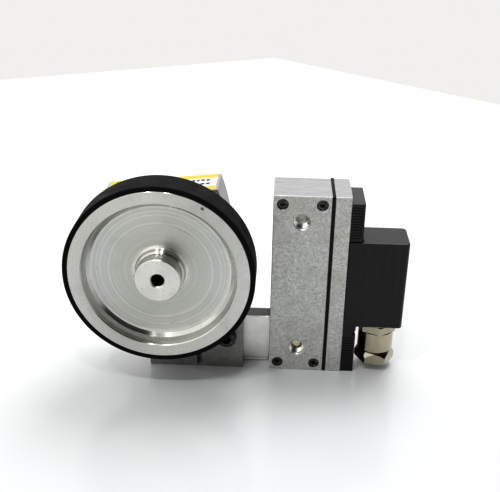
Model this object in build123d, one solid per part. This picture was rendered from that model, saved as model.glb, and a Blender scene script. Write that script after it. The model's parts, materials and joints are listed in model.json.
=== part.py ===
from build123d import *
import os
from math import cos, radians, sin

# A friction wheel on a rotary encoder, carried by a sprung arm that pivots in a housing.
# Millimetres, +Z up. Everything is drawn with the housing's left front bottom corner at
# the origin, and moved at the end so that the frame's origin is the middle of the
# footprint, on the surface that the unit stands on. +X runs from the wheel to the plug,
# +Y to the back.

# ---------------------------------------------------------------- driving dimensions
# Housing: a tall aluminium block, a thin back plate and a side cover on a gasket.
BLOCK_W = 29.2
BLOCK_D = 26.0
BLOCK_H = 102.0
BACK_PLATE_T = 4.7
GASKET_T = 1.6
GASKET_PROUD = 0.6
COVER_T = 8.2
EDGE_BREAK = 0.35
GASKET_SET_BACK = 0.15

# How far a cutting shape runs past the face that it opens.
PAST = 1.0

# Two M8 fixing threads, right through the block, drawn at the thread's outer diameter.
M8_R = 4.0
M8_EDGE = 14.1
M8_MOUTH_R = 4.6

# Four M3 cap screws near the corners of the front face.
CORNER_EDGE = 4.7
CORNER_SINK = 0.6

# Slot and pocket inside the block, and the arm that pivots in them on a hollow sleeve
# around the lower fixing thread.
POCKET_Y0 = 6.9
POCKET_Y1 = 17.1
POCKET_Z0 = 6.9
SLOT_Z1 = 31.4
POCKET_X0 = 11.2
POCKET_Z1 = 76.0
BAR_T = 9.2
BAR_Y0 = 7.4
BAR_Z0 = 0.5
BAR_Z1 = 28.6
BAR_GROOVE_Z = 2.3
BAR_GROOVE_W = 0.5
TONGUE_Z0 = 7.3
TONGUE_Z1 = 21.1
EYE_R = 6.8
SHOULDER_GAP = 0.4
SLEEVE_R_OUT = 4.9
SLEEVE_R_IN = 4.2
SLEEVE_SEAT = 1.4
RUNNING_GAP = 0.05

# Heel of the arm, return spring, and the switch that the heel presses.
HEEL_X1 = 25.4
HEEL_Z1 = 18.1
SPRING_X = 6.2
SPRING_R = 3.5
SPRING_WIRE_R = 0.55
SPRING_Z1 = 47.0
SPRING_COILS = 8
BOARD_Y0 = 15.3
BOARD_T = 1.5
BOARD_X0 = 11.8
BOARD_X1 = 28.6
BOARD_Z0 = 22.6
BOARD_Z1 = 75.4
BOARD_SCREW_L = 4.6
BOARD_SCREW_PLACES = ((13.4, 34.0), (13.4, 72.0))
SWITCH_X = 14.4
SWITCH_L = 12.8
SWITCH_H = 6.5
SWITCH_T = 5.8
SWITCH_Z0 = 21.6
SWITCH_EYE_R = 0.9
SWITCH_EYE_EDGE = 3.15
SWITCH_EYE_UP = 4.6
SWITCH_PIN_XS = (1.3, 6.4, 11.5)
SWITCH_PIN_L = 3.0
PLUNGER_X = 23.2
PLUNGER_R = 1.0
PLUNGER_LIFT = 0.25
PLUNGER_L = 6.0
PLUNGER_BORE_L = 3.6
HEADER_X0 = 20.0
HEADER_X1 = 27.5
HEADER_Z0 = 39.0
HEADER_Z1 = 73.4

# Ribbed base on the cover.
COVER_SCREW_L = 15.0
BASE_SCREW_L = 12.0
BUSH_R = 2.6
BASE_T = 6.9
BASE_Y0 = 0.7
BASE_Y1 = 24.1
BASE_H = 98.3
RIB_PITCH = 1.5
RIB_DEPTH = 0.5
RIB_ZONES = ((0.9, 20.4), (79.6, 97.4))
RIB_STOP = 0.9
NOTCH_R = 1.6
NOTCH_DROP = 4.6

# The way through the gasket and the cover for the contacts, and the contacts themselves.
WINDOW_Y0 = 7.0
WINDOW_Y1 = 14.6
WINDOW_Z0 = 38.0
WINDOW_Z1 = 75.0
BLADE_X0 = 24.0
BLADE_X1 = 55.5
BLADE_W = 6.3
BLADE_T = 0.8
CLIP_X1 = 57.0
CLIP_W = 8.0
CLIP_H = 2.6
CLIP_WALL = 0.6
CLIP_AIR = 0.15

# Right-angle plug on the base, with its cable gland pointing down.
HOOD_X1 = 69.9
HOOD_Y1 = 21.0
HOOD_Z0 = 28.6
HOOD_Z1 = 77.5
HOOD_WALL = 1.8
HOOD_END_T = 4.2
HOOD_CORNER_R = 2.4
INSERT_SIDE = 2.2
INSERT_Z0 = 37.0
INSERT_Z1 = 75.0
PLUG_HEAD_R = 3.1
PLUG_HEAD_H = 2.2
HOOD_FLUTE_PITCH = 5.2
HOOD_FLUTE_R = 8.0
HOOD_FLUTE_DEPTH = 0.2
HOOD_FLUTE_SHIFT = 1.0
HOOD_FLUTE_STOP = 1.2
PLUG_GAP = 0.3
SKIRT_T = 1.5
PLUG_MID_Y = 10.5
PLUG_SCREW_Z = 53.0
PLUG_SCREW_REACH = 1.2
PLUG_SLOT_W = 0.8
PLUG_SLOT_DEPTH = 1.1
GLAND_X = 57.8
GLAND_R = 9.5
GLAND_THREAD_R = 7.9
GLAND_HEX = 19.0
GLAND_STEP = 11.0
GLAND_NECK = 5.6
COLLAR_H = 4.1
COLLAR_R = 10.6
WASHER_R = 9.9
WASHER_T = 1.0
SPIGOT_R = 7.5
SPIGOT_WALL = 1.0
CABLE_ROOM = 1.2
SEAL_Z0 = 7.4
SEAL_L = 4.5
COLLAR_TURN = 36.0
NUT_HEX = 18.6
NUT_Z0 = 4.6
NUT_Z1 = 10.8
NUT_CORNER_R = 10.7
NUT_TOP_R = 8.9
NUT_SHOULDER = 4.0
NUT_SEAT = 1.1
NUT_TURN = -3.0
CABLE_R = 4.3

# Clamp block that rides on the bar, and the bracket that stands on it.
CLAMP_X0 = -64.8
CLAMP_X1 = -14.2
CLAMP_D = 26.0
CLAMP_H = 32.8
CLAMP_FIT = 0.1
SLIT_X = -37.6
SLIT_W = 2.8
CLAMP_SCREW_XS = (-54.0, -23.0)
CLAMP_SCREW_Z = 19.2
CLAMP_SCREW_L = 20.0
SLOT_SPARE = 0.2
CLAMP_HEAD_PROUD = 3.0
TRAVEL_LEFT = 2.0
TRAVEL_RIGHT = 4.5
BRACKET_T = 4.6
BRACKET_FOOT_T = 3.5
BRACKET_W = 52.0
BRACKET_R = 28.0
FOOT_SCREW_XS = (-46.0, -32.5)
FOOT_SCREW_Y = 21.4
FOOT_SCREW_L = 14.0
FOOT_HOLE_L = 12.0
FLANGE_SINK = 1.6
FLANGE_SCREW_L = 6.0

# Wheel: 300 mm around the tyre.
WHEEL_X = -55.0
WHEEL_Z = 65.5
WHEEL_Y0 = -22.2
WHEEL_W = 16.1
TYRE_R = 47.75
RIM_R = 45.56
BOSS_R = 11.4
BOSS_PROUD = 3.4
SHAFT_R = 3.0
BORE_MOUTH_R = 3.9
WEB_FRONT = 7.2
WEB_STEP_R = 25.2
WEB_BACK = 12.0
WEB_STEP = 0.12
DISH_R = 33.4
DISH_MOUTH_R = 39.1
REAR_DISH_R = 41.0
REAR_BOSS_R = 11.0
REAR_BOSS_Y1 = 18.0
GRUB_Y = 15.2
SHAFT_Y0 = 8.0

# Encoder, turned a little about the wheel's axis.
ENCODER_ROLL = 6.3
ENCODER_SPLIT = 9.0
ENCODER_Y1 = 33.5
ENCODER_TOP = 31.8
ENCODER_TOP_HALF = 30.2
ENCODER_WAIST_HALF = 33.2
ENCODER_WAIST_Z = 8.0
ENCODER_HIP_HALF = 30.4
ENCODER_HIP_Z = -15.0
ENCODER_BOTTOM = -27.0
ENCODER_BOTTOM_HALF = 19.0
ENCODER_WALL = 2.4
POST_R = 3.4
CAP_SCREW_SINK = 1.6
CAP_SCREW_PROUD = 1.4
LABEL_T = 0.25
LABEL_HALF = 28.9
LABEL_FRONT = 0.3
LABEL_BACK = 1.4
PILOT_R = 16.0
FLANGE_PCD_R = 23.0
FLANGE_ANGLES = (45, 135, 225, 315)
HOUSING_SCREW_PLACES = ((-25.4, 25.6), (25.4, 25.6), (-23.0, -13.6), (23.0, -13.6))
BEARING_R = 8.0
BEARING_W = 5.0
SHIELD_R_IN = 5.2
SHIELD_R_OUT = 7.0
SHIELD_SINK = 0.4
SPACER_R_IN = 6.6
CLIP_R_IN = 6.4
CLIP_T = 0.8
CLIP_GAP = 4.0
FRONT_BEARING_Y = 5.4
REAR_BEARING_Y = 15.4
SHAFT_STEP_R = 4.0
CARRIER_R = 11.0
CARRIER_Y1 = 21.4
DISC_Y0 = 24.4
DISC_T = 1.0
DISC_R = 17.5
DISC_BORE_R = 4.5
SENSOR_BOARD_Y = 28.6
SENSOR_BOARD_T = 1.6
HEAD_HALF = 5.5
HEAD_Y0 = 21.6
HEAD_Z0 = 9.5
HEAD_Z1 = 21.0
HEAD_GAP = 0.5
SOCKET_Z = -4.0
SOCKET_R = 6.0
SOCKET_BORE_R = 4.4
SOCKET_NUT_R = 8.0
SOCKET_NUT_T = 3.4
SOCKET_FLOOR = 4.5
SOCKET_Y0 = 30.4
SOCKET_Y1 = 46.5
SOCKET_PINS = ((0, 0), (1.8, 1.8), (-1.8, 1.8), (1.8, -1.8), (-1.8, -1.8))
SOCKET_PIN_R = 0.5
SOCKET_PIN_SHORT = 3.0
DISC_SEAT_R = 7.0
DISC_SEAT_T = 1.8
SHAFT_END_GAP = 1.0

# Fasteners: shank radius, head radius, head height, hexagon key size.
M2 = (1.0, 1.9, 2.0, 1.5)
M3 = (1.5, 2.75, 3.0, 2.5)
M4 = (2.0, 3.5, 4.0, 3.0)
M6 = (3.0, 5.0, 6.0, 5.0)
SCREW_GAP = 0.05
CLEARANCE = 0.2

# ---------------------------------------------------------------- places that follow
COVER_X0 = BLOCK_W + GASKET_T
COVER_X1 = COVER_X0 + COVER_T
BASE_X1 = COVER_X1 + BASE_T
BODY_BACK = BLOCK_D - BACK_PLATE_T
PIVOT_X = BLOCK_W / 2
PIVOT_Z = M8_EDGE
BAR_Y1 = BAR_Y0 + BAR_T
BAR_MID_Y = BAR_Y0 + BAR_T / 2
WHEEL_Y1 = WHEEL_Y0 + WHEEL_W
BOSS_Y0 = WHEEL_Y0 - BOSS_PROUD
ENCODER_Y0 = BRACKET_T
CORNER_XS = (CORNER_EDGE, BLOCK_W - CORNER_EDGE)
CORNER_ZS = (CORNER_EDGE, BLOCK_H - CORNER_EDGE)
M8_ZS = (M8_EDGE, BLOCK_H - M8_EDGE)
COVER_SCREW_PLACES = [(y, z) for y in (3.5, 19.2) for z in (28.0, 90.5)]
BASE_SCREW_PLACES = [(12.4, z) for z in (11.0, 88.0)]
BLADE_ZS = (41.5, 64.5, 71.0)
HOOD_X0 = BASE_X1 + PLUG_GAP
GASKET_X1 = HOOD_X0 + 1.2
INSERT_X1 = 60.0
GLAND_Z1 = HOOD_Z0 + HOOD_WALL + 1.6
CHANNEL_Z1 = BAR_Z1 + 0.2
CHEEK_Y1 = BAR_Y0 - CLAMP_FIT
FOOT_TOP = CLAMP_H + BRACKET_FOOT_T
BRACKET_X0 = WHEEL_X - BRACKET_W / 2
BRACKET_X1 = WHEEL_X + BRACKET_W / 2
SHAFT_Y1 = DISC_Y0 + DISC_T + 1.6
PLUG_SCREW_END = COVER_X1 + PLUG_SCREW_REACH - HOOD_X1
FOOT_X = (WHEEL_X - TYRE_R + HOOD_X1) / 2
FOOT_Y = (BOSS_Y0 + SOCKET_Y1) / 2


# ---------------------------------------------------------------- small helpers
def slab(x0, x1, y0, y1, z0, z1):
    return Pos((x0 + x1) / 2, (y0 + y1) / 2, (z0 + z1) / 2) * Box(x1 - x0, y1 - y0, z1 - z0)


def rod_x(y, z, x0, x1, r):
    return Pos((x0 + x1) / 2, y, z) * Rot(0, 90, 0) * Cylinder(r, x1 - x0)


def rod_y(x, z, y0, y1, r):
    return Pos(x, (y0 + y1) / 2, z) * Rot(90, 0, 0) * Cylinder(r, y1 - y0)


def rod_z(x, y, z0, z1, r):
    return Pos(x, y, (z0 + z1) / 2) * Cylinder(r, z1 - z0)


def tube_y(x, z, y0, y1, r_out, r_in):
    return rod_y(x, z, y0, y1, r_out) - rod_y(x, z, y0 - PAST, y1 + PAST, r_in)


def hex_z(z0, z1, across_flats):
    """A hexagonal bar about Z, with one flat to the front."""
    outline = RegularPolygon(across_flats / 2, 6, major_radius=False, rotation=0)
    return extrude(Pos(0, 0, z0) * outline, z1 - z0)


def turned(profile):
    """A solid turned about Z from (radius, height) points of half its section."""
    outline = Polyline(*[(r, 0, z) for r, z in profile], close=True)
    return revolve(make_face(outline), Axis.Z)


def turned_y(profile, x, z):
    """A solid turned about a line along Y, from (radius, y) points of half its section."""
    return Pos(x, 0, z) * Rot(-90, 0, 0) * turned(profile)


def pill_y(x0, x1, z, y0, y1, r):
    """A slot along X with round ends, cut through along Y."""
    slot = slab(x0 + r, x1 - r, y0, y1, z - r, z + r)
    for x in (x0 + r, x1 - r):
        slot += rod_y(x, z, y0, y1, r)
    return slot


FACING = {"-Y": (90, 0, 0), "+Y": (-90, 0, 0), "+X": (0, 90, 0), "+Z": (0, 0, 0)}


def aim(solid, x, y, z, facing):
    """Place a screw, drawn with the top of its head at z = 0, so that the head faces a way."""
    return Pos(x, y, z) * Rot(*FACING[facing]) * solid


def cap_screw(size, length):
    """Socket head cap screw. Its length is measured under the head."""
    shank_r, head_r, head_h, key = size
    edge = head_h * 0.1
    end = -head_h - length
    half = [
        (0, end),
        (shank_r - edge, end),
        (shank_r, end + edge),
        (shank_r, -head_h),
        (head_r, -head_h),
        (head_r, -edge),
        (head_r - edge, 0),
        (0, 0),
    ]
    return turned(half) - hex_z(-head_h * 0.55, 1, key)


def flat_screw(size, length):
    """Countersunk screw with a hexagon key hole. Its length is the whole length."""
    shank_r, head_r, _, key = size
    cone_h = head_r - shank_r
    half = [(0, -length), (shank_r, -length), (shank_r, -cone_h), (head_r, 0), (0, 0)]
    return turned(half) - hex_z(-cone_h * 0.9, 1, key * 0.8)


def flat_screw_hole(size, length):
    shank_r, head_r, _, _ = size
    cone_h = head_r - shank_r
    r = shank_r + SCREW_GAP
    top = head_r + SCREW_GAP
    return turned([(0, -length), (r, -length), (r, -cone_h), (top, 0), (top, 1), (0, 1)])


def joined(solids):
    """Several separate solids kept in one node."""
    return Compound(list(solids))


# ---------------------------------------------------------------- housing
def m8_threads(y0, y1):
    return [rod_y(PIVOT_X, z, y0, y1, M8_R) for z in M8_ZS]


def main_block():
    body = slab(0, BLOCK_W, 0, BODY_BACK, 0, BLOCK_H)
    body = chamfer(body.faces().sort_by(Axis.Y)[0].edges(), EDGE_BREAK)
    for cut in m8_threads(-PAST, BODY_BACK + PAST):
        body -= cut
    depth = M8_MOUTH_R - M8_R
    mouth = [(0, -1), (M8_MOUTH_R + PAST, -1), (M8_R - 0.5, depth + 0.5), (0, depth + 0.5)]
    for z in M8_ZS:
        body -= turned_y(mouth, PIVOT_X, z)
    for x in CORNER_XS:
        for z in CORNER_ZS:
            body -= rod_y(x, z, -PAST, CORNER_SINK + M3[2], M3[1] + CLEARANCE)
            body -= rod_y(x, z, 0, BODY_BACK + PAST, M3[0] + CLEARANCE)
    body -= slab(-PAST, BLOCK_W + PAST, POCKET_Y0, POCKET_Y1, POCKET_Z0, SLOT_Z1)
    body -= slab(POCKET_X0, BLOCK_W + PAST, POCKET_Y0, POCKET_Y1, SLOT_Z1 - PAST, POCKET_Z1)
    body -= rod_y(PIVOT_X, PIVOT_Z, POCKET_Y0 - SLEEVE_SEAT, POCKET_Y1 + SLEEVE_SEAT, SLEEVE_R_OUT)
    body -= rod_z(SPRING_X, BAR_MID_Y, SLOT_Z1 - PAST, SPRING_Z1, SPRING_R + CLEARANCE)
    for y, z in COVER_SCREW_PLACES:
        body -= rod_x(y, z, COVER_X1 - COVER_SCREW_L - CLEARANCE, BLOCK_W + PAST, M3[0] + SCREW_GAP)
    for x, z in BOARD_SCREW_PLACES:
        body -= rod_y(x, z, POCKET_Y1 - PAST, BODY_BACK - 0.6, M2[0] + SCREW_GAP)
    return body


def back_plate():
    plate = slab(0, BLOCK_W, BODY_BACK, BLOCK_D, 0, BLOCK_H)
    plate = chamfer(plate.faces().sort_by(Axis.Y)[-1].edges(), EDGE_BREAK)
    for cut in m8_threads(BODY_BACK - PAST, BLOCK_D + PAST):
        plate -= cut
    for x in CORNER_XS:
        for z in CORNER_ZS:
            plate -= rod_y(x, z, BODY_BACK - PAST, BLOCK_D + PAST, M3[0] + SCREW_GAP)
    return plate


def corner_screws():
    length = BLOCK_D - CORNER_SINK - M3[2] - 0.8
    screw = cap_screw(M3, length)
    return joined(aim(screw, x, CORNER_SINK, z, "-Y") for x in CORNER_XS for z in CORNER_ZS)


def window(x0, x1):
    """The way through the gasket and the cover for the plug base's tails."""
    return slab(x0, x1, WINDOW_Y0, WINDOW_Y1, WINDOW_Z0, WINDOW_Z1)


def cover_gasket():
    s = GASKET_SET_BACK
    sheet = slab(BLOCK_W, COVER_X0, s, BLOCK_D + GASKET_PROUD, s, BLOCK_H + s)
    sheet -= window(BLOCK_W - PAST, COVER_X0 + PAST)
    for y, z in COVER_SCREW_PLACES:
        sheet -= rod_x(y, z, BLOCK_W - PAST, COVER_X0 + PAST, M3[0] + CLEARANCE)
    return sheet


def cover_plate():
    plate = slab(COVER_X0, COVER_X1, 0, BLOCK_D, 0, BLOCK_H)
    plate = chamfer(plate.faces().sort_by(Axis.Y)[0].edges(), EDGE_BREAK)
    plate -= window(COVER_X0 - PAST, COVER_X1 + PAST)
    for y, z in COVER_SCREW_PLACES:
        plate -= aim(flat_screw_hole(M3, COVER_SCREW_L), COVER_X1, y, z, "+X")
    for y, z in BASE_SCREW_PLACES:
        plate -= rod_x(y, z, COVER_X0 + PAST, COVER_X1 + PAST, M3[0] + SCREW_GAP)
    return plate


def cover_screws():
    screw = flat_screw(M3, COVER_SCREW_L)
    return joined(aim(screw, COVER_X1, y, z, "+X") for y, z in COVER_SCREW_PLACES)


# ---------------------------------------------------------------- arm pivot and spring
def pivot_sleeve():
    sleeve = rod_y(PIVOT_X, PIVOT_Z, POCKET_Y0 - SLEEVE_SEAT, POCKET_Y1 + SLEEVE_SEAT, SLEEVE_R_OUT)
    return sleeve - rod_y(PIVOT_X, PIVOT_Z, 0, BODY_BACK, SLEEVE_R_IN)


def return_spring():
    """Compression spring that stands on the arm's tongue and pushes the wheel side down."""
    coil_r = SPRING_R - SPRING_WIRE_R
    z0 = TONGUE_Z1 + SPRING_WIRE_R
    height = SPRING_Z1 - SPRING_WIRE_R - z0
    path = Pos(SPRING_X, BAR_MID_Y, z0) * Helix(height / SPRING_COILS, height, coil_r)
    section = Plane(path @ 0, z_dir=path % 0) * Circle(SPRING_WIRE_R)
    return sweep(section, path)


def arm_bar():
    half_groove = BAR_GROOVE_W / 2
    groove_z0, groove_z1 = BAR_GROOVE_Z - half_groove, BAR_GROOVE_Z + half_groove
    outer = slab(CLAMP_X0, -SHOULDER_GAP, BAR_Y0, BAR_Y1, BAR_Z0, BAR_Z1)
    outer = chamfer(outer.edges().filter_by(Axis.X), EDGE_BREAK)
    outer -= slab(CLAMP_X0 - PAST, 0, BAR_Y0 - PAST, BAR_Y0 + BAR_GROOVE_W, groove_z0, groove_z1)
    shoulder = slab(-SHOULDER_GAP - 0.1, SHOULDER_GAP, BAR_Y0, BAR_Y1, TONGUE_Z0, BAR_Z1)
    tongue = slab(0, PIVOT_X, BAR_Y0, BAR_Y1, TONGUE_Z0, TONGUE_Z1)
    eye = rod_y(PIVOT_X, PIVOT_Z, BAR_Y0, BAR_Y1, EYE_R)
    heel = slab(PIVOT_X, HEEL_X1, BAR_Y0, BAR_Y1, PIVOT_Z - 2.0, HEEL_Z1)
    bar = outer + shoulder + tongue + eye + heel
    bar -= rod_y(PIVOT_X, PIVOT_Z, BAR_Y0 - PAST, BAR_Y1 + PAST, SLEEVE_R_OUT + RUNNING_GAP)
    r = M6[0] + CLEARANCE
    for x in CLAMP_SCREW_XS:
        slot_x0 = x - TRAVEL_LEFT - r - SLOT_SPARE
        slot_x1 = x + TRAVEL_RIGHT + r + SLOT_SPARE
        bar -= pill_y(slot_x0, slot_x1, CLAMP_SCREW_Z, BAR_Y0 - PAST, BAR_Y1 + PAST, r)
    return bar


# ---------------------------------------------------------------- switch in the pocket
def switch_board():
    board = slab(BOARD_X0, BOARD_X1, BOARD_Y0, BOARD_Y0 + BOARD_T, BOARD_Z0, BOARD_Z1)
    for x, z in BOARD_SCREW_PLACES:
        board -= rod_y(x, z, BOARD_Y0 - PAST, BOARD_Y0 + BOARD_T + PAST, M2[0] + SCREW_GAP)
    return board


def board_screws():
    head_top = BOARD_Y0 - M2[2]
    screw = cap_screw(M2, BOARD_SCREW_L)
    return joined(aim(screw, x, head_top, z, "-Y") for x, z in BOARD_SCREW_PLACES)


def micro_switch():
    y1 = BOARD_Y0
    case = slab(SWITCH_X, SWITCH_X + SWITCH_L, y1 - SWITCH_T, y1, SWITCH_Z0, SWITCH_Z0 + SWITCH_H)
    case = chamfer(case.edges().filter_by(Axis.Y), 0.5)
    for x in (SWITCH_X + SWITCH_EYE_EDGE, SWITCH_X + SWITCH_L - SWITCH_EYE_EDGE):
        case -= rod_y(x, SWITCH_Z0 + SWITCH_EYE_UP, y1 - SWITCH_T - PAST, y1 + PAST, SWITCH_EYE_R)
    bore_z1 = SWITCH_Z0 + PLUNGER_BORE_L
    return case - rod_z(PLUNGER_X, y1 - SWITCH_T / 2, SWITCH_Z0 - PAST, bore_z1, PLUNGER_R + RUNNING_GAP)


def switch_pins():
    z = SWITCH_Z0 + SWITCH_H
    y = BOARD_Y0 - SWITCH_T / 2
    pins = []
    for pin_x in SWITCH_PIN_XS:
        x = SWITCH_X + pin_x
        pins.append(slab(x - 0.25, x + 0.25, y - 0.6, y + 0.6, z, z + SWITCH_PIN_L))
    return joined(pins)


def switch_plunger():
    y = BOARD_Y0 - SWITCH_T / 2
    z0 = HEEL_Z1 + PLUNGER_LIFT
    stem = turned([(0, 0), (0.6, 0), (PLUNGER_R, 0.4), (PLUNGER_R, PLUNGER_L), (0, PLUNGER_L)])
    return Pos(PLUNGER_X, y, z0) * stem


def header_block():
    block = slab(HEADER_X0, HEADER_X1, POCKET_Y0, BOARD_Y0, HEADER_Z0, HEADER_Z1)
    for z in BLADE_ZS:
        block -= blade_body(z, CLEARANCE / 2)
    return block


# ---------------------------------------------------------------- ribbed base on the cover
def blade_body(z, grow):
    """One flat contact blade, optionally grown for the hole that it passes."""
    w = BLADE_W / 2 + grow
    t = BLADE_T / 2 + grow
    return slab(BLADE_X0 - grow, BLADE_X1 + grow, PLUG_MID_Y - w, PLUG_MID_Y + w, z - t, z + t)


def contact_blades():
    blades = []
    for z in BLADE_ZS:
        blade = blade_body(z, 0)
        blades.append(chamfer(blade.faces().sort_by(Axis.X)[-1].edges().filter_by(Axis.Y), 0.3))
    return joined(blades)


def socket_base():
    base = slab(COVER_X1, BASE_X1, BASE_Y0, BASE_Y1, 0, BASE_H)
    base = fillet(base.faces().sort_by(Axis.X)[-1].edges().filter_by(Axis.Z), 0.5)
    for z_low, z_high in RIB_ZONES:
        count = int((z_high - z_low) / RIB_PITCH) + 1
        for n in range(count):
            z = z_low + n * RIB_PITCH
            for y in (BASE_Y0, BASE_Y1):
                rib_z1 = z + RIB_PITCH / 2
                base -= slab(COVER_X1 - PAST, BASE_X1 - RIB_STOP, y - RIB_DEPTH, y + RIB_DEPTH, z, rib_z1)
    skirt_z0, skirt_z1 = HOOD_Z0 - PLUG_GAP, HOOD_Z1 + PLUG_GAP
    base -= slab(COVER_X1 - PAST, BASE_X1 + PAST, BASE_Y0 - PAST, SKIRT_T + PLUG_GAP, skirt_z0, skirt_z1)
    base -= rod_y(BASE_X1, HOOD_Z0 - NOTCH_DROP, BASE_Y0 - PAST, BASE_Y1 + PAST, NOTCH_R)
    for z in BLADE_ZS:
        base -= blade_body(z, 0)
    base -= rod_x(PLUG_MID_Y, PLUG_SCREW_Z, COVER_X1 - PAST, BASE_X1 + PAST, BUSH_R)
    for y, z in BASE_SCREW_PLACES:
        base -= aim(flat_screw_hole(M3, BASE_SCREW_L), BASE_X1, y, z, "+X")
    return base


def base_bush():
    """Brass bush that the plug's screw goes into."""
    bush = rod_x(PLUG_MID_Y, PLUG_SCREW_Z, COVER_X1, BASE_X1, BUSH_R)
    return bush - rod_x(PLUG_MID_Y, PLUG_SCREW_Z, COVER_X1 - PAST, BASE_X1 + PAST, M3[0] + RUNNING_GAP)


def base_screws():
    screw = flat_screw(M3, BASE_SCREW_L)
    return joined(aim(screw, BASE_X1, y, z, "+X") for y, z in BASE_SCREW_PLACES)


# ---------------------------------------------------------------- plug
def plug_hood():
    shell = slab(HOOD_X0, HOOD_X1, 0, HOOD_Y1, HOOD_Z0, HOOD_Z1)
    shell = fillet(shell.faces().sort_by(Axis.X)[-1].edges().filter_by(Axis.Z), HOOD_CORNER_R)
    shell = fillet(shell.faces().sort_by(Axis.Z)[-1].edges(), 0.6)
    skirt = slab(COVER_X1 + PLUG_GAP, HOOD_X0 + 0.5, 0, SKIRT_T, HOOD_Z0, HOOD_Z1)
    shell += skirt
    w = HOOD_WALL
    shell -= slab(HOOD_X0 - PAST, HOOD_X1 - HOOD_END_T, w, HOOD_Y1 - w, HOOD_Z0 + w, HOOD_Z1 - w)
    flutes = int((HOOD_X1 - HOOD_CORNER_R - HOOD_X0) / HOOD_FLUTE_PITCH)
    flute_z1 = HOOD_Z1 - HOOD_FLUTE_STOP
    for n in range(flutes):
        x = HOOD_X0 + (n + 0.5) * HOOD_FLUTE_PITCH - HOOD_FLUTE_SHIFT
        shell -= rod_z(x, HOOD_FLUTE_DEPTH - HOOD_FLUTE_R, HOOD_Z0 - PAST, flute_z1, HOOD_FLUTE_R)
    shell -= rod_z(GLAND_X, PLUG_MID_Y, HOOD_Z0 - PAST, HOOD_Z0 + w + PAST, GLAND_THREAD_R + SCREW_GAP)
    shell -= rod_x(PLUG_MID_Y, PLUG_SCREW_Z, HOOD_X1 - 2 * HOOD_END_T, HOOD_X1 + PAST, M3[0] + CLEARANCE)
    shell -= rod_x(PLUG_MID_Y, PLUG_SCREW_Z, HOOD_X1 - PLUG_HEAD_H, HOOD_X1 + PAST, PLUG_HEAD_R + CLEARANCE)
    return shell


def plug_gasket():
    inset = HOOD_WALL + 0.15
    sheet = slab(HOOD_X0, GASKET_X1, inset, HOOD_Y1 - inset, HOOD_Z0 + inset, HOOD_Z1 - inset)
    for z in BLADE_ZS:
        sheet -= blade_body(z, CLEARANCE)
    return sheet - rod_x(PLUG_MID_Y, PLUG_SCREW_Z, HOOD_X0 - PAST, GASKET_X1 + PAST, M3[0] + CLEARANCE)


def plug_insert():
    """Moulded contact carrier inside the hood."""
    carrier = slab(GASKET_X1, INSERT_X1, INSERT_SIDE, HOOD_Y1 - INSERT_SIDE, INSERT_Z0, INSERT_Z1)
    carrier = chamfer(carrier.edges().filter_by(Axis.X), 0.8)
    w, h = CLIP_W / 2 + CLEARANCE, CLIP_H / 2 + CLEARANCE / 2
    for z in BLADE_ZS:
        carrier -= slab(GASKET_X1 - PAST, CLIP_X1, PLUG_MID_Y - w, PLUG_MID_Y + w, z - h, z + h)
    return carrier - rod_x(PLUG_MID_Y, PLUG_SCREW_Z, GASKET_X1 - PAST, INSERT_X1 + PAST, M3[0] + CLEARANCE)


def contact_clips():
    """Spring clips that grip the blades, one in each slot of the carrier."""
    clips = []
    w, h = CLIP_W / 2, CLIP_H / 2
    inner_w = w - CLIP_WALL
    inner_h = BLADE_T / 2 + CLIP_AIR
    for z in BLADE_ZS:
        clip = slab(GASKET_X1 + CLIP_WALL, CLIP_X1, PLUG_MID_Y - w, PLUG_MID_Y + w, z - h, z + h)
        mouth = slab(0, CLIP_X1 - PAST, PLUG_MID_Y - inner_w, PLUG_MID_Y + inner_w, z - inner_h, z + inner_h)
        clips.append(clip - mouth)
    return joined(clips)


def plug_screw():
    """Captive screw through the middle of the plug, with a slotted cheese head."""
    r = PLUG_HEAD_R
    edge = EDGE_BREAK
    half = [
        (0, PLUG_SCREW_END),
        (M3[0], PLUG_SCREW_END),
        (M3[0], -PLUG_HEAD_H),
        (r, -PLUG_HEAD_H),
        (r, -edge),
        (r - edge, 0),
        (0, 0),
    ]
    half_slot = PLUG_SLOT_W / 2
    screw = turned(half) - slab(-r - PAST, r + PAST, -half_slot, half_slot, -PLUG_SLOT_DEPTH, PAST)
    return aim(screw, HOOD_X1, PLUG_MID_Y, PLUG_SCREW_Z, "+X")


# ---------------------------------------------------------------- cable gland
def gland_body():
    """Threaded into the hood: a hexagon collar, a plain barrel and a threaded spigot."""
    barrel = [
        (0, SEAL_Z0 - 0.8),
        (SPIGOT_R, SEAL_Z0 - 0.8),
        (SPIGOT_R, GLAND_STEP),
        (GLAND_R - 0.9, GLAND_STEP),
        (GLAND_R, GLAND_STEP + 1.0),
        (GLAND_R, HOOD_Z0 - GLAND_NECK),
        (GLAND_THREAD_R, HOOD_Z0 - GLAND_NECK + 0.2),
        (GLAND_THREAD_R, GLAND_Z1),
        (0, GLAND_Z1),
    ]
    body = turned(barrel)
    collar_z1 = HOOD_Z0 - WASHER_T + 0.1
    collar = Rot(0, 0, COLLAR_TURN) * hex_z(collar_z1 - COLLAR_H, collar_z1, GLAND_HEX)
    body += collar & rod_z(0, 0, collar_z1 - COLLAR_H - PAST, HOOD_Z0, COLLAR_R)
    body += rod_z(0, 0, HOOD_Z0 - WASHER_T, HOOD_Z0 - RUNNING_GAP, WASHER_R)
    body -= rod_z(0, 0, SEAL_Z0 - 2 * PAST, SEAL_Z0 + SEAL_L + 0.1, SPIGOT_R - SPIGOT_WALL)
    body -= rod_z(0, 0, SEAL_Z0, GLAND_Z1 + PAST, CABLE_R + CABLE_ROOM)
    return Pos(GLAND_X, PLUG_MID_Y, 0) * body


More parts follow.
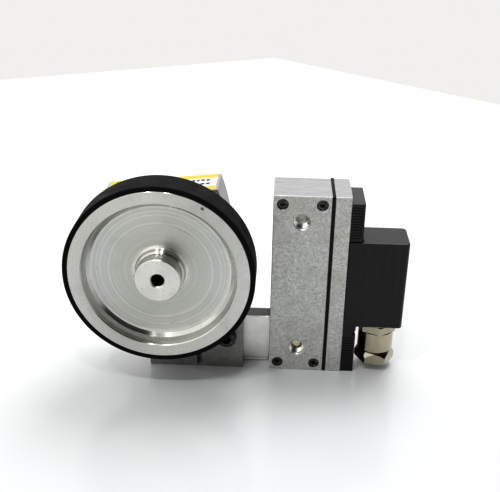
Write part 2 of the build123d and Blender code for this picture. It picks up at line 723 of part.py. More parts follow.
def gland_seal():
    ring = rod_z(0, 0, SEAL_Z0, SEAL_Z0 + SEAL_L, SPIGOT_R - SPIGOT_WALL - RUNNING_GAP)
    ring -= rod_z(0, 0, SEAL_Z0 - PAST, SEAL_Z0 + SEAL_L + PAST, CABLE_R)
    return Pos(GLAND_X, PLUG_MID_Y, 0) * ring


def gland_nut():
    """Hexagon nut with a domed shoulder. It screws onto the gland's spigot."""
    shoulder = NUT_Z0 + NUT_SHOULDER
    r = NUT_CORNER_R
    half = [
        (0, NUT_Z0),
        (r - 0.7, NUT_Z0),
        (r, NUT_Z0 + 0.6),
        (r, shoulder - 0.4),
        (NUT_TOP_R, NUT_Z1),
        (0, NUT_Z1),
    ]
    dome = turned(half)
    nut = hex_z(NUT_Z0, NUT_Z1, NUT_HEX) & dome
    nut -= rod_z(0, 0, SEAL_Z0 - NUT_SEAT, NUT_Z1 + PAST, SPIGOT_R + RUNNING_GAP)
    nut -= rod_z(0, 0, NUT_Z0 - PAST, NUT_Z1, CABLE_R + CABLE_ROOM)
    return Pos(GLAND_X, PLUG_MID_Y, 0) * Rot(0, 0, NUT_TURN) * nut


# ---------------------------------------------------------------- clamp block and bracket
def clamp_block():
    block = slab(CLAMP_X0, CLAMP_X1, 0, CLAMP_D, 0, CLAMP_H)
    block = chamfer(block.edges().filter_by(Axis.X), EDGE_BREAK)
    block -= slab(CLAMP_X0 - PAST, CLAMP_X1 + PAST, CHEEK_Y1, BAR_Y1 + CLAMP_FIT, -PAST, CHANNEL_Z1)
    block -= slab(SLIT_X - SLIT_W / 2, SLIT_X + SLIT_W / 2, -PAST, BAR_Y0, -PAST, CHANNEL_Z1)
    sink = M6[2] - CLAMP_HEAD_PROUD
    for x in CLAMP_SCREW_XS:
        block -= rod_y(x, CLAMP_SCREW_Z, -PAST, sink, M6[1] + CLEARANCE)
        block -= rod_y(x, CLAMP_SCREW_Z, 0, BAR_Y0, M6[0] + CLEARANCE)
        block -= rod_y(x, CLAMP_SCREW_Z, BAR_Y1, CLAMP_D + PAST, M6[0] + SCREW_GAP)
    for x in FOOT_SCREW_XS:
        block -= rod_z(x, FOOT_SCREW_Y, CLAMP_H - FOOT_HOLE_L, CLAMP_H + PAST, M4[0] + SCREW_GAP)
    return block


def clamp_screws():
    screw = cap_screw(M6, CLAMP_SCREW_L)
    return joined(aim(screw, x, -CLAMP_HEAD_PROUD, CLAMP_SCREW_Z, "-Y") for x in CLAMP_SCREW_XS)


def flange_places():
    places = []
    for angle in FLANGE_ANGLES:
        a = radians(angle + ENCODER_ROLL)
        places.append((WHEEL_X + FLANGE_PCD_R * cos(a), WHEEL_Z + FLANGE_PCD_R * sin(a)))
    return places


def flange_bracket():
    """Angle bracket: a foot on the clamp block and an upright that carries the encoder."""
    foot = slab(BRACKET_X0, BRACKET_X1, 0, CLAMP_D, CLAMP_H, FOOT_TOP)
    upright = slab(BRACKET_X0, BRACKET_X1, 0, BRACKET_T, CLAMP_H, WHEEL_Z)
    bracket = foot + upright + rod_y(WHEEL_X, WHEEL_Z, 0, BRACKET_T, BRACKET_R)
    bracket -= rod_y(WHEEL_X, WHEEL_Z, -PAST, BRACKET_T + PAST, PILOT_R)
    for x, z in flange_places():
        bracket -= rod_y(x, z, -PAST, FLANGE_SINK, M4[1] + CLEARANCE)
        bracket -= rod_y(x, z, 0, BRACKET_T + PAST, M4[0] + CLEARANCE)
    for x in FOOT_SCREW_XS:
        bracket -= aim(flat_screw_hole(M4, FOOT_SCREW_L), x, FOOT_SCREW_Y, FOOT_TOP, "+Z")
    return bracket


def bracket_screws():
    screw = flat_screw(M4, FOOT_SCREW_L)
    return joined(aim(screw, x, FOOT_SCREW_Y, FOOT_TOP, "+Z") for x in FOOT_SCREW_XS)


def flange_screws():
    screw = cap_screw(M4, FLANGE_SCREW_L)
    return joined(aim(screw, x, FLANGE_SINK - M4[2], z, "-Y") for x, z in flange_places())


# ---------------------------------------------------------------- encoder
def rolled(solid):
    """Turn a piece drawn about the Y axis with the encoder, and put it on the wheel's axis."""
    return Pos(WHEEL_X, 0, WHEEL_Z) * Rot(0, -ENCODER_ROLL, 0) * solid


def encoder_outline(inset):
    """The housing's section: flat on top, bulging sides, and cut back at the bottom."""
    top, low, half = ENCODER_TOP - inset, ENCODER_BOTTOM + inset, ENCODER_TOP_HALF - inset
    waist, hip, base = ENCODER_WAIST_HALF - inset, ENCODER_HIP_HALF - inset, ENCODER_BOTTOM_HALF - inset / 2
    waist_z, hip_z = ENCODER_WAIST_Z, ENCODER_HIP_Z
    edges = [
        Line((-half, top), (half, top)),
        ThreePointArc((half, top), (waist, waist_z), (hip, hip_z)),
        Line((hip, hip_z), (base, low)),
        Line((base, low), (-base, low)),
        Line((-base, low), (-hip, hip_z)),
        ThreePointArc((-hip, hip_z), (-waist, waist_z), (-half, top)),
    ]
    return make_face(edges)


def encoder_prism(inset, y0, y1):
    return Pos(0, y1, 0) * Rot(90, 0, 0) * extrude(encoder_outline(inset), y1 - y0)


def encoder_flange():
    """Front flange with its pilot and the tube that carries the bearings."""
    flange = encoder_prism(0.25, ENCODER_Y0, ENCODER_SPLIT)
    flange += rod_y(0, 0, 1.2, ENCODER_Y0 + 0.5, PILOT_R - 0.05)
    flange += rod_y(0, 0, ENCODER_Y0, CARRIER_Y1, CARRIER_R)
    flange -= rod_y(0, 0, 0, CARRIER_Y1 + PAST, SHAFT_STEP_R + 0.6)
    flange -= rod_y(0, 0, FRONT_BEARING_Y, CARRIER_Y1 + PAST, BEARING_R)
    for angle in FLANGE_ANGLES:
        x, z = FLANGE_PCD_R * cos(radians(angle)), FLANGE_PCD_R * sin(radians(angle))
        flange -= rod_y(x, z, ENCODER_Y0 - PAST, ENCODER_SPLIT - 0.6, M4[0] + SCREW_GAP)
    for x, z in HOUSING_SCREW_PLACES:
        flange -= rod_y(x, z, ENCODER_SPLIT - 3, ENCODER_SPLIT + PAST, M3[0] + SCREW_GAP)
    return rolled(flange)


def encoder_housing():
    """Cap over the disc and the board, with four posts for its screws."""
    cap = encoder_prism(0, ENCODER_SPLIT, ENCODER_Y1)
    cap = chamfer(cap.faces().sort_by(Axis.Y)[-1].edges(), 1.0)
    cap -= encoder_prism(ENCODER_WALL, ENCODER_SPLIT - PAST, ENCODER_Y1 - ENCODER_WALL)
    for x, z in HOUSING_SCREW_PLACES:
        post = rod_y(x, z, ENCODER_SPLIT, ENCODER_Y1 - 0.5, POST_R)
        cap += post & encoder_prism(0.3, 0, ENCODER_Y1 - 0.5)
        cap -= rod_y(x, z, 0, ENCODER_Y1 + PAST, M3[0] + CLEARANCE)
        cap -= rod_y(x, z, ENCODER_Y1 - CAP_SCREW_SINK, ENCODER_Y1 + PAST, M3[1] + CLEARANCE)
    cap -= rod_y(0, SOCKET_Z, SENSOR_BOARD_Y, ENCODER_Y1 + PAST, SOCKET_R + SCREW_GAP)
    return rolled(cap)


def housing_screws():
    top = ENCODER_Y1 + CAP_SCREW_PROUD
    screw = cap_screw(M3, top - M3[2] - ENCODER_SPLIT + 2.3)
    return joined(rolled(aim(screw, x, top, z, "+Y")) for x, z in HOUSING_SCREW_PLACES)


def encoder_label():
    y0, y1 = ENCODER_SPLIT + LABEL_FRONT, ENCODER_Y1 - LABEL_BACK
    return rolled(slab(-LABEL_HALF, LABEL_HALF, y0, y1, ENCODER_TOP, ENCODER_TOP + LABEL_T))


def bearing(y):
    """Deep-groove bearing: two rings, with a shield between them."""
    rings = tube_y(0, 0, y, y + BEARING_W, BEARING_R, SHAFT_STEP_R + RUNNING_GAP)
    sink = PAST + SHIELD_SINK
    for y0 in (y - PAST, y + BEARING_W - SHIELD_SINK):
        rings -= tube_y(0, 0, y0, y0 + sink, SHIELD_R_OUT, SHIELD_R_IN)
    return rolled(rings)


def front_bearing():
    return bearing(FRONT_BEARING_Y)


def rear_bearing():
    return bearing(REAR_BEARING_Y)


def bearing_spacer():
    return rolled(tube_y(0, 0, FRONT_BEARING_Y + BEARING_W, REAR_BEARING_Y, BEARING_R, SPACER_R_IN))


def bearing_clip():
    """Retaining ring behind the rear bearing, with its gap at the bottom."""
    y = REAR_BEARING_Y + BEARING_W
    ring = tube_y(0, 0, y, y + CLIP_T, BEARING_R, CLIP_R_IN)
    return rolled(ring - slab(-CLIP_GAP / 2, CLIP_GAP / 2, y - PAST, y + CLIP_T + PAST, -BEARING_R - PAST, 0))


def sensor_board():
    y1 = SENSOR_BOARD_Y + SENSOR_BOARD_T
    board = encoder_prism(ENCODER_WALL + 1.2, SENSOR_BOARD_Y, y1)
    for x, z in HOUSING_SCREW_PLACES:
        board -= rod_y(x, z, SENSOR_BOARD_Y - PAST, y1 + PAST, POST_R + 2 * CLEARANCE)
    return rolled(board)


def read_head():
    """Light source and sensor on each side of the code disc's rim."""
    head = slab(-HEAD_HALF, HEAD_HALF, HEAD_Y0, SENSOR_BOARD_Y, HEAD_Z0, HEAD_Z1)
    w = HEAD_HALF + PAST
    gap_y0, gap_y1 = DISC_Y0 - HEAD_GAP, DISC_Y0 + DISC_T + HEAD_GAP
    return rolled(head - slab(-w, w, gap_y0, gap_y1, HEAD_Z0 - PAST, DISC_R + HEAD_GAP))


def encoder_socket():
    """Threaded round connector, screwed into the back of the housing."""
    outer = [
        (0, SOCKET_Y0),
        (SOCKET_R, SOCKET_Y0),
        (SOCKET_R, ENCODER_Y1),
        (SOCKET_NUT_R, ENCODER_Y1),
        (SOCKET_NUT_R, ENCODER_Y1 + SOCKET_NUT_T),
        (SOCKET_R, ENCODER_Y1 + SOCKET_NUT_T),
        (SOCKET_R, SOCKET_Y1 - 0.6),
        (SOCKET_R - 0.6, SOCKET_Y1),
        (0, SOCKET_Y1),
    ]
    shell = turned_y(outer, 0, 0)
    floor_y = ENCODER_Y1 + SOCKET_FLOOR
    shell -= rod_y(0, 0, floor_y, SOCKET_Y1 + PAST, SOCKET_BORE_R)
    for x, z in SOCKET_PINS:
        shell -= rod_y(x, z, SOCKET_Y0 - PAST, floor_y + PAST, SOCKET_PIN_R)
    return rolled(Pos(0, 0, SOCKET_Z) * shell)


def socket_pins():
    y0, y1 = SENSOR_BOARD_Y + SENSOR_BOARD_T, SOCKET_Y1 - SOCKET_PIN_SHORT
    pins = []
    for x, z in SOCKET_PINS:
        pins.append(rolled(rod_y(x, z + SOCKET_Z, y0, y1, SOCKET_PIN_R)))
    return joined(pins)


# ---------------------------------------------------------------- wheel and shaft
def wheel_hub():
    """Dished aluminium wheel, from (radius, depth behind the rim's front) points."""
    mouth = BORE_MOUTH_R
    bore = SHAFT_R + RUNNING_GAP
    front = [
        (bore, -BOSS_PROUD + mouth - bore),
        (mouth, -BOSS_PROUD),
        (BOSS_R - 0.4, -BOSS_PROUD),
        (BOSS_R, -BOSS_PROUD + 0.4),
        (BOSS_R, 3.6),
        (BOSS_R + 0.9, 4.4),
        (BOSS_R + 0.9, 5.2),
        (BOSS_R + 1.4, 6.6),
        (BOSS_R + 2.8, WEB_FRONT + WEB_STEP),
        (WEB_STEP_R, WEB_FRONT + WEB_STEP),
        (WEB_STEP_R + 0.3, WEB_FRONT),
        (DISH_R, WEB_FRONT),
        (DISH_R + 2.0, WEB_FRONT - 0.6),
        (DISH_R + 3.7, WEB_FRONT - 2.2),
        (DISH_R + 4.8, WEB_FRONT - 4.4),
        (DISH_MOUTH_R - 0.5, 0.5),
        (DISH_MOUTH_R, 0),
        (RIM_R - 0.5, 0),
        (RIM_R, 0.5),
    ]
    back = [
        (RIM_R, WHEEL_W),
        (REAR_DISH_R, WHEEL_W),
        (REAR_DISH_R - 0.8, WEB_BACK + 1.5),
        (REAR_DISH_R - 2.5, WEB_BACK),
        (REAR_BOSS_R + 2, WEB_BACK),
        (REAR_BOSS_R, WEB_BACK + 1.5),
        (REAR_BOSS_R, REAR_BOSS_Y1 - 0.5),
        (REAR_BOSS_R - 0.5, REAR_BOSS_Y1),
        (bore, REAR_BOSS_Y1),
    ]
    hub = turned_y([(r, y + WHEEL_Y0) for r, y in front + back], WHEEL_X, WHEEL_Z)
    return hub - rod_z(WHEEL_X, WHEEL_Y0 + GRUB_Y, WHEEL_Z, WHEEL_Z + REAR_BOSS_R + PAST, M4[0] + SCREW_GAP)


def grub_screw():
    length = REAR_BOSS_R - 0.8 - SHAFT_R
    half = [(0, -length), (1.2, -length), (M4[0], -length + 0.8), (M4[0], 0), (0, 0)]
    screw = turned(half) - hex_z(-2.2, 1, 2.0)
    return aim(screw, WHEEL_X, WHEEL_Y0 + GRUB_Y, WHEEL_Z + REAR_BOSS_R - 0.8, "+Z")


def tyre():
    edge = EDGE_BREAK
    half = [
        (RIM_R, WHEEL_Y0),
        (TYRE_R - edge, WHEEL_Y0),
        (TYRE_R, WHEEL_Y0 + edge),
        (TYRE_R, WHEEL_Y1 - edge),
        (TYRE_R - edge, WHEEL_Y1),
        (RIM_R, WHEEL_Y1),
    ]
    return turned_y(half, WHEEL_X, WHEEL_Z)


def encoder_shaft():
    y0 = WHEEL_Y0 + SHAFT_Y0
    step_y0 = FRONT_BEARING_Y - SHAFT_END_GAP
    step_y1 = CARRIER_Y1 + CLIP_T
    half = [
        (0, y0),
        (SHAFT_R - 0.4, y0),
        (SHAFT_R, y0 + 0.4),
        (SHAFT_R, step_y0),
        (SHAFT_STEP_R, step_y0),
        (SHAFT_STEP_R, step_y1),
        (SHAFT_R, step_y1),
        (SHAFT_R, SHAFT_Y1),
        (0, SHAFT_Y1),
    ]
    return turned_y(half, WHEEL_X, WHEEL_Z)


def disc_hub():
    y0, y1 = DISC_Y0 - DISC_SEAT_T, DISC_Y0 + DISC_T
    seat, r = DISC_SEAT_R, DISC_BORE_R
    half = [(SHAFT_R, y0), (seat, y0), (seat, DISC_Y0), (r, DISC_Y0), (r, y1), (SHAFT_R, y1)]
    return turned_y(half, WHEEL_X, WHEEL_Z)


def code_disc():
    return tube_y(WHEEL_X, WHEEL_Z, DISC_Y0, DISC_Y0 + DISC_T, DISC_R, DISC_BORE_R)


# ---------------------------------------------------------------- all the pieces, written out
PIECES = {
    "main_block": main_block,
    "back_plate": back_plate,
    "corner_screws": corner_screws,
    "cover_gasket": cover_gasket,
    "cover_plate": cover_plate,
    "cover_screws": cover_screws,
    "pivot_sleeve": pivot_sleeve,
    "return_spring": return_spring,
    "switch_board": switch_board,
    "board_screws": board_screws,
    "micro_switch": micro_switch,
    "switch_pins": switch_pins,
    "switch_plunger": switch_plunger,
    "header_block": header_block,
    "contact_blades": contact_blades,
    "socket_base": socket_base,
    "base_bush": base_bush,
    "base_screws": base_screws,
    "arm_bar": arm_bar,
    "plug_hood": plug_hood,
    "plug_gasket": plug_gasket,
    "plug_insert": plug_insert,
    "contact_clips": contact_clips,
    "plug_screw": plug_screw,
    "gland_body": gland_body,
    "gland_seal": gland_seal,
    "gland_nut": gland_nut,
    "clamp_block": clamp_block,
    "clamp_screws": clamp_screws,
    "flange_bracket": flange_bracket,
    "bracket_screws": bracket_screws,
    "flange_screws": flange_screws,
    "encoder_flange": encoder_flange,
    "encoder_housing": encoder_housing,
    "housing_screws": housing_screws,
    "encoder_label": encoder_label,
    "front_bearing": front_bearing,
    "rear_bearing": rear_bearing,
    "bearing_spacer": bearing_spacer,
    "bearing_clip": bearing_clip,
    "sensor_board": sensor_board,
    "read_head": read_head,
    "encoder_socket": encoder_socket,
    "socket_pins": socket_pins,
    "wheel_hub": wheel_hub,
    "grub_screw": grub_screw,
    "tyre": tyre,
    "encoder_shaft": encoder_shaft,
    "disc_hub": disc_hub,
    "code_disc": code_disc,
}

os.makedirs("parts", exist_ok=True)
for name, build in PIECES.items():
    export_step(Pos(-FOOT_X, -FOOT_Y, 0) * build(), "parts/" + name + ".step")
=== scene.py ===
import json
import random
from math import cos, pi, radians, sin

import bpy
from mathutils import Matrix, Vector


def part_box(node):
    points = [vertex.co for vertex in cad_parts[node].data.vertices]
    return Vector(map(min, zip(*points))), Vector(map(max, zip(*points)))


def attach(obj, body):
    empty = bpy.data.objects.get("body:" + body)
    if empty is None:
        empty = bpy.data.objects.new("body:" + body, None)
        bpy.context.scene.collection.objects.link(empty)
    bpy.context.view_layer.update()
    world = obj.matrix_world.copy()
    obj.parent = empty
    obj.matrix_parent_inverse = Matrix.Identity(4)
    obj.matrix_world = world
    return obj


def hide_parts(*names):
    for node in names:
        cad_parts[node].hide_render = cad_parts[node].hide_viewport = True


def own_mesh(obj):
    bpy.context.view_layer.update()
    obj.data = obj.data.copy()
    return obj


# A friction wheel on a rotary encoder, with its sprung arm, housing block and plug.
# Metres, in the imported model's frame. The CAD nodes stay where they are and get
# procedural materials; the threads, the return spring and the label's print are pieces
# of their own.
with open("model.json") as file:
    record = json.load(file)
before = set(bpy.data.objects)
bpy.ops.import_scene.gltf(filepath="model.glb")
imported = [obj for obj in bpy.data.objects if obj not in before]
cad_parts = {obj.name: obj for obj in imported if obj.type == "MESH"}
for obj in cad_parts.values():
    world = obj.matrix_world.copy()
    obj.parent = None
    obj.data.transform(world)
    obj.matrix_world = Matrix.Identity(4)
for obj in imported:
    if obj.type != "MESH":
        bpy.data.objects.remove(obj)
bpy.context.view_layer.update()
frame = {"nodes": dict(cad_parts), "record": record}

MM = 0.001
BLOCK_LOW, BLOCK_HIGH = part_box("main_block")
WHEEL_LOW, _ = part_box("wheel_hub")
TYRE_LOW, TYRE_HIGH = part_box("tyre")
AXIS_X = (TYRE_LOW[0] + TYRE_HIGH[0]) / 2
AXIS_Z = (TYRE_LOW[2] + TYRE_HIGH[2]) / 2

# The two M8 holes through the housing block. Their walls are bright inside the smaller
# radius of HOLE_BRIGHT_R, and like the block's face beyond the larger one. The thread
# starts M8_MOUTH behind the face.
HOLE_EDGE = 14.1 * MM
HOLE_X = (BLOCK_LOW[0] + BLOCK_HIGH[0]) / 2
HOLE_ZS = (BLOCK_HIGH[2] - HOLE_EDGE, BLOCK_LOW[2] + HOLE_EDGE)
HOLE_BRIGHT_R = (4.05 * MM, 4.3 * MM)
M8_ROOT_R = 4.02 * MM
M8_CREST_R = 3.34 * MM
M8_PITCH = 1.25 * MM
M8_MOUTH = 0.6 * MM

# The four M3 screws near the corners of its front face, each sunk in a counterbore whose upward-facing lower
# lip gets a painted highlight.
SCREW_EDGE = 4.7 * MM
SCREW_XS = (BLOCK_LOW[0] + SCREW_EDGE, BLOCK_HIGH[0] - SCREW_EDGE)
SCREW_ZS = (BLOCK_LOW[2] + SCREW_EDGE, BLOCK_HIGH[2] - SCREW_EDGE)
RECESS_HIGHLIGHT_R = (3.3 * MM, 3.5 * MM)

# Radii on the wheel where the tool or its finish changes. Inside BORE_R the bore gets painted shade, two
# rings where the tool left grooves get a painted highlight, and a patch on the rim is painted dark as the
# shade of a dent. The FADE pairs are where each starts and where it is full.
BORE_R = 3.3 * MM
BOSS_FACE_R = 11.2 * MM
BOSS_FOOT_R = 14.2 * MM
WEB_STEP_R = 25.2 * MM
WALL_R = 33.4 * MM
WALL_BRIGHT_R = 34.9 * MM
RIM_FACE_R = 39.0 * MM
RIM_EDGE_R = 45.05 * MM
HIGHLIGHT_RING_RS = (30.4 * MM, 32.4 * MM)
HIGHLIGHT_RING_FADE = (0.32 * MM, 0.08 * MM)
DENT_SHADE_X, DENT_SHADE_Z = 22.0 * MM, 37.4 * MM
DENT_SHADE_FADE = (1.7 * MM, 1.2 * MM)

# The jacking thread in the wheel's bore starts JACK_MOUTH behind the wheel's front, and
# ends JACK_SHAFT_GAP before the shaft.
JACK_ROOT_R = 3.07 * MM
JACK_CREST_R = 2.62 * MM
JACK_PITCH = 1.0 * MM
JACK_MOUTH = 0.9 * MM
JACK_SHAFT_GAP = 0.3 * MM


# ---------------------------------------------------------------- shader graphs
class Graph:
    """A material's node tree, with short calls for the nodes that the finishes share."""

    def __init__(self, name):
        self.material = bpy.data.materials.new(name)
        self.material.use_nodes = True
        self.tree = self.material.node_tree
        self.shader = self.tree.nodes["Principled BSDF"]
        self.coords = self.add("ShaderNodeTexCoord").outputs["Object"]

    def add(self, kind, **settings):
        node = self.tree.nodes.new(kind)
        for key, value in settings.items():
            setattr(node, key, value)
        return node

    def put(self, socket, value):
        if isinstance(value, bpy.types.NodeSocket):
            self.tree.links.new(value, socket)
        elif isinstance(value, (tuple, list)) and len(value) == 3 and socket.type == "RGBA":
            socket.default_value = (*value, 1.0)
        else:
            socket.default_value = value

    def set(self, name, value):
        self.put(self.shader.inputs[name], value)

    def math(self, operation, a, b=0.0):
        node = self.add("ShaderNodeMath", operation=operation)
        self.put(node.inputs[0], a)
        self.put(node.inputs[1], b)
        return node.outputs[0]

    def stretched(self, scale, shift=(0, 0, 0)):
        node = self.add("ShaderNodeMapping")
        self.put(node.inputs["Vector"], self.coords)
        self.put(node.inputs["Location"], shift)
        self.put(node.inputs["Scale"], scale)
        return node.outputs[0]

    def normal_part(self, axis):
        """The part of the surface's own normal along X, Y or Z, in the piece's own frame."""
        split = self.add("ShaderNodeSeparateXYZ")
        self.put(split.inputs[0], self.add("ShaderNodeTexCoord").outputs["Normal"])
        return split.outputs[axis]

    def place_part(self, axis):
        """Where the surface is along X, Y or Z, in the piece's own frame."""
        split = self.add("ShaderNodeSeparateXYZ")
        self.put(split.inputs[0], self.coords)
        return split.outputs[axis]

    def noise(self, size, detail=3.0, vector=None, seed=0.0, swirl=0.0):
        """Noise from 0 to 1 whose blotches are about size metres across."""
        node = self.add("ShaderNodeTexNoise", noise_dimensions="4D")
        self.put(node.inputs["Distortion"], swirl)
        self.put(node.inputs["Vector"], self.coords if vector is None else vector)
        self.put(node.inputs["W"], seed)
        self.put(node.inputs["Scale"], 1.0 / size)
        self.put(node.inputs["Detail"], detail)
        return node.outputs["Fac"]

    def spread(self, value, low, high, out_low=0.0, out_high=1.0):
        """A smooth step from out_low, where the value is low, to out_high, where it is high."""
        node = self.add("ShaderNodeMapRange", interpolation_type="SMOOTHSTEP")
        self.put(node.inputs["Value"], value)
        self.put(node.inputs["From Min"], low)
        self.put(node.inputs["From Max"], high)
        self.put(node.inputs["To Min"], out_low)
        self.put(node.inputs["To Max"], out_high)
        return node.outputs[0]

    def mix(self, factor, a, b):
        """Colour a where the factor is 0, and b where it is 1."""
        node = self.add("ShaderNodeMix", data_type="RGBA")
        self.put(node.inputs["Factor"], factor)
        self.put(node.inputs[6], a)
        self.put(node.inputs[7], b)
        return node.outputs[2]

    def rounded(self, radius):
        """The surface's normal, with its sharp edges softened to this radius."""
        node = self.add("ShaderNodeBevel", samples=4)
        self.put(node.inputs["Radius"], radius)
        return node.outputs[0]

    def bump(self, height, distance, normal=None):
        node = self.add("ShaderNodeBump")
        self.put(node.inputs["Height"], height)
        self.put(node.inputs["Distance"], distance)
        self.put(node.inputs["Strength"], 1.0)
        if normal is not None:
            self.put(node.inputs["Normal"], normal)
        return node.outputs[0]

    def from_line(self, x, z):
        """The distance from a line along Y."""
        apart = self.stretched((1, 0, 1), (-x, 0, -z))
        length = self.add("ShaderNodeVectorMath", operation="LENGTH")
        self.put(length.inputs[0], apart)
        return length.outputs["Value"]

    def edges(self, normal, none=0.985, full=0.90):
        """A mask that is 1 on sharp edges, from how far the rounded normal turns."""
        true_normal = self.add("ShaderNodeNewGeometry").outputs["True Normal"]
        dot = self.add("ShaderNodeVectorMath", operation="DOT_PRODUCT")
        self.put(dot.inputs[0], normal)
        self.put(dot.inputs[1], true_normal)
        return self.spread(dot.outputs["Value"], none, full)


def surface(name, colour, dark, rough, metallic=0.0, *, grain, depth, blotch, round_edge,
            wear=0.0, worn=(0.8, 0.8, 0.8), seed=0.0, brush=None):
    """A surface with blotches, fine grain, softened edges and some wear along them."""
    g = Graph(name)
    fine_from = g.stretched(brush) if brush else None
    fine = g.noise(grain, 4.0, fine_from, seed)
    broad = g.noise(blotch, 4.0, None, seed + 3.0)
    blend = g.math("ADD", g.math("MULTIPLY", fine, 0.45), g.math("MULTIPLY", broad, 0.55))
    g.colour = g.mix(g.spread(blend, 0.35, 0.65), dark, colour)
    g.normal = g.rounded(round_edge)
    if wear:
        patchy = g.spread(g.noise(2 * MM, 3.0, None, seed + 7.0), 0.3, 0.6)
        rubbed = g.math("MULTIPLY", g.edges(g.normal), patchy)
        g.colour = g.mix(g.math("MULTIPLY", rubbed, wear), g.colour, worn)
    g.set("Base Color", g.colour)
    g.set("Metallic", metallic)
    g.set("Roughness", g.spread(broad, 0.3, 0.7, rough * 0.85, rough * 1.15))
    g.set("Normal", g.bump(fine, depth, g.normal))
    return g


# ---------------------------------------------------------------- materials
def blasted_aluminium():
    """The housing block, its back plate and the cover: crinkled, mottled grey, brushed on top."""
    g = Graph("blasted_aluminium")
    crinkle = g.noise(1.15 * MM, 3.0, g.stretched((0.75, 1, 1)), 1.0, 1.6)
    grit = g.noise(0.5 * MM, 2.0, None, 2.0)
    cloud = g.noise(13 * MM, 3.0, None, 3.0)
    brushed = g.noise(0.6 * MM, 3.0, g.stretched((0.06, 1, 1)), 4.0)
    mottle = g.math("ADD", g.math("MULTIPLY", crinkle, 0.65), g.math("MULTIPLY", grit, 0.35))
    front = g.mix(g.spread(mottle, 0.36, 0.64), (0.43, 0.435, 0.41), (0.70, 0.705, 0.675))
    front = g.mix(g.math("MULTIPLY", g.spread(cloud, 0.45, 0.70), 0.35), front, (0.40, 0.40, 0.365))
    top = g.mix(g.spread(brushed, 0.3, 0.7), (0.33, 0.335, 0.34), (0.42, 0.425, 0.43))
    facing_up = g.spread(g.normal_part("Z"), 0.6, 0.9)
    normal = g.rounded(0.35 * MM)
    colour = g.mix(facing_up, front, top)
    colour = g.mix(g.math("MULTIPLY", g.edges(normal), 0.8), colour, (0.82, 0.83, 0.83))

    from_screws = [g.from_line(x, z) for x in SCREW_XS for z in SCREW_ZS]
    from_left = g.math("MINIMUM", *from_screws[:2])
    from_right = g.math("MINIMUM", *from_screws[2:])
    full_r, none_r = RECESS_HIGHLIGHT_R
    in_recess = g.spread(g.math("MINIMUM", from_left, from_right), none_r, full_r)
    from_holes = g.math("MINIMUM", *[g.from_line(HOLE_X, z) for z in HOLE_ZS])
    full_r, none_r = HOLE_BRIGHT_R
    in_hole = g.spread(from_holes, none_r, full_r)
    # The bright cut metal of the M8 holes, plus a painted highlight on the upward-facing lower lip of each
    # screw's counterbore.
    cut_and_lip_highlight = g.math("MAXIMUM", in_hole, g.math("MULTIPLY", in_recess, facing_up))

    g.set("Base Color", g.mix(cut_and_lip_highlight, colour, (0.95, 0.945, 0.92)))
    g.set("Metallic", 0.85)
    matte = g.spread(mottle, 0.3, 0.7, 0.58, 0.46)
    g.set("Roughness", g.math("SUBTRACT", matte, g.math("MULTIPLY", cut_and_lip_highlight, 0.30)))
    g.set("Normal", g.bump(mottle, 0.09 * MM, normal))
    return g.material


def cut_thread():
    """The bright crests of a tapped thread in the block."""
    g = Graph("cut_thread")
    smear = g.noise(0.5 * MM, 3.0, g.stretched((1, 0.4, 1)), 5.0)
    g.set("Base Color", g.mix(g.spread(smear, 0.3, 0.7), (0.88, 0.87, 0.83), (0.97, 0.965, 0.94)))
    g.set("Metallic", 0.95)
    g.set("Roughness", 0.20)
    g.set("Normal", g.bump(smear, 0.02 * MM))
    return g.material


def milled_aluminium():
    return surface("milled_aluminium", (0.34, 0.34, 0.325), (0.22, 0.22, 0.21), 0.42, 0.85,
                   grain=0.45 * MM, depth=0.03 * MM, blotch=7 * MM, round_edge=0.25 * MM,
                   wear=0.7, worn=(0.75, 0.75, 0.74), seed=2.0, brush=(0.35, 1, 1)).material


def ground_steel():
    """The arm: a bright ground front, painted darker towards its bottom as shade, and a dull, darker top."""
    g = surface("ground_steel", (0.97, 0.965, 0.94), (0.86, 0.855, 0.82), 0.34, 0.85,
                grain=0.5 * MM, depth=0.02 * MM, blotch=5 * MM, round_edge=0.25 * MM,
                wear=0.5, worn=(0.88, 0.88, 0.86), seed=3.0, brush=(0.3, 1, 1))
    facing_up = g.spread(g.normal_part("Z"), 0.5, 0.9)
    # Painted shade: the front darkens towards the bottom of the arm.
    painted_shade_low = g.spread(g.place_part("Z"), 22 * MM, 4 * MM)
    shaded = g.mix(g.math("MULTIPLY", painted_shade_low, 0.15), g.colour, (0.45, 0.44, 0.42))
    g.set("Base Color", g.mix(facing_up, shaded, (0.075, 0.075, 0.073)))
    return g.material


def black_oxide():
    return surface("black_oxide", (0.13, 0.13, 0.125), (0.02, 0.02, 0.019), 0.17, 0.95,
                   grain=0.5 * MM, depth=0.04 * MM, blotch=1.2 * MM, round_edge=0.2 * MM,
                   wear=0.7, worn=(0.38, 0.38, 0.36), seed=4.0).material


def bright_steel():
    return surface("bright_steel", (0.70, 0.70, 0.70), (0.58, 0.58, 0.58), 0.22, 1.0,
                   grain=0.25 * MM, depth=0.006 * MM, blotch=4 * MM, round_edge=0.15 * MM,
                   wear=0.3, worn=(0.9, 0.9, 0.9), seed=5.0).material


